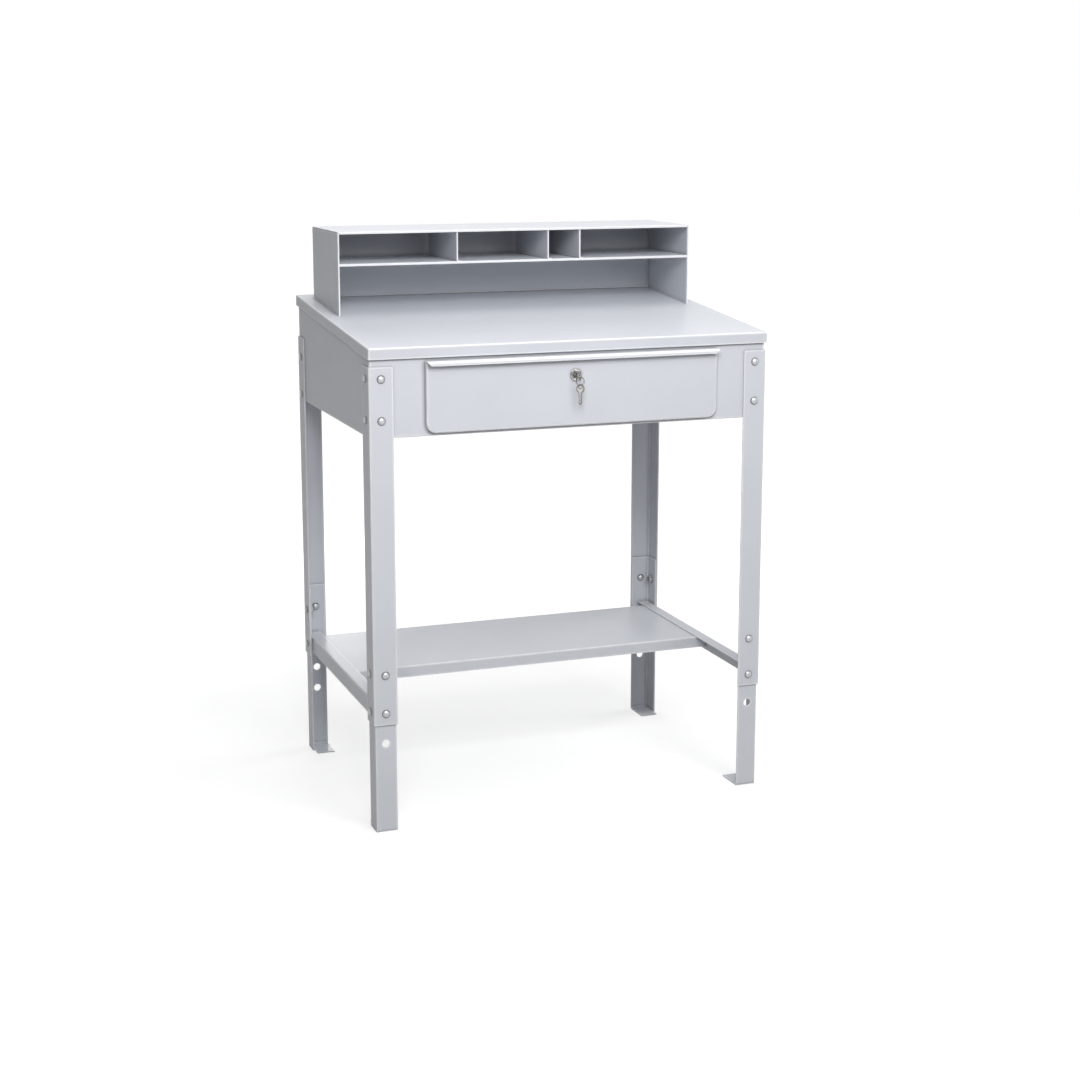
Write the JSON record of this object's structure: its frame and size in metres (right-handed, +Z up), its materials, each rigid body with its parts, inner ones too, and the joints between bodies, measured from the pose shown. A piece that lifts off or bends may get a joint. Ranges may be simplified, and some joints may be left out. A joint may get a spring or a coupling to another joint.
{
  "type": "shop desk",
  "caption": "Standing shop desk of painted sheet steel with a sloped top, locking drawer, pigeonhole riser, bolted angle legs and a lower shelf.",
  "frame": {"origin": "centre of the whole desk's box, on the floor", "axes": "+X to the user's right, +Y to the desk's back, +Z up"},
  "size_m": [0.874, 0.6513, 1.202],
  "materials": {
    "grey_paint": "light grey powder coat, satin",
    "zinc_steel": "zinc-plated steel",
    "lock_chrome": "polished chrome",
    "key_steel": "nickel-plated steel"
  },
  "bodies": {
    "desk": {"upper_leg_front_left": "grey_paint", "lower_leg_front_left": "grey_paint", "upper_leg_front_right": "grey_paint", "lower_leg_front_right": "grey_paint", "upper_leg_rear_left": "grey_paint", "lower_leg_rear_left": "grey_paint", "upper_leg_rear_right": "grey_paint", "lower_leg_rear_right": "grey_paint", "body_bolts": "zinc_steel", "body_nuts": "zinc_steel", "leg_bolts": "zinc_steel", "leg_nuts": "zinc_steel", "desk_top": "grey_paint", "front_panel": "grey_paint", "back_panel": "grey_paint", "lower_shelf": "grey_paint", "side_panel_left": "grey_paint", "side_panel_right": "grey_paint", "stringer_left": "grey_paint", "stringer_right": "grey_paint", "riser_side_left": "grey_paint", "riser_side_right": "grey_paint", "drawer_runner_left": "zinc_steel", "drawer_runner_right": "zinc_steel", "riser_top": "grey_paint", "riser_back": "grey_paint", "riser_shelf": "grey_paint", "riser_divider_1": "grey_paint", "riser_divider_2": "grey_paint", "riser_divider_3": "grey_paint", "riser_screws": "zinc_steel"},
    "drawer": {"drawer_front": "grey_paint", "drawer_pull": "grey_paint", "drawer_shell": "grey_paint", "drawer_inner_front": "grey_paint", "drawer_back": "grey_paint", "drawer_rail_left": "zinc_steel", "drawer_rail_right": "zinc_steel", "rail_rivets": "zinc_steel", "lock_body": "lock_chrome", "lock_nut": "key_steel"},
    "lock": {"lock_plug": "lock_chrome", "lock_cam": "key_steel", "cam_screw": "key_steel", "key": "key_steel"},
    "key_ring": {"key_ring": "key_steel"},
    "spare_key": {"spare_key": "key_steel"}
  },
  "joints": [
    {"name": "drawer_slide", "type": "slide", "parent": "desk", "child": "drawer", "axis": [0, -1, 0], "range_m": [0, 0.34]},
    {"name": "lock_turn", "type": "hinge", "parent": "drawer", "child": "lock", "pos_m": [0, -0.2944, 0.926], "axis": [0, 1, 0], "range_deg": [0, 90]},
    {"name": "ring_hang", "type": "hinge", "parent": "lock", "child": "key_ring", "pos_m": [0, -0.3156, 0.9205], "axis": [0, 1, 0], "range_deg": [-90, 0]},
    {"name": "spare_key_swing", "type": "hinge", "parent": "key_ring", "child": "spare_key", "pos_m": [0, -0.3156, 0.9071], "axis": [1, 0, 0], "range_deg": [-45, 27]}
  ],
  "couplings": [
    {"joint": "ring_hang", "follows": "lock_turn", "ratio": -1}
  ]
}
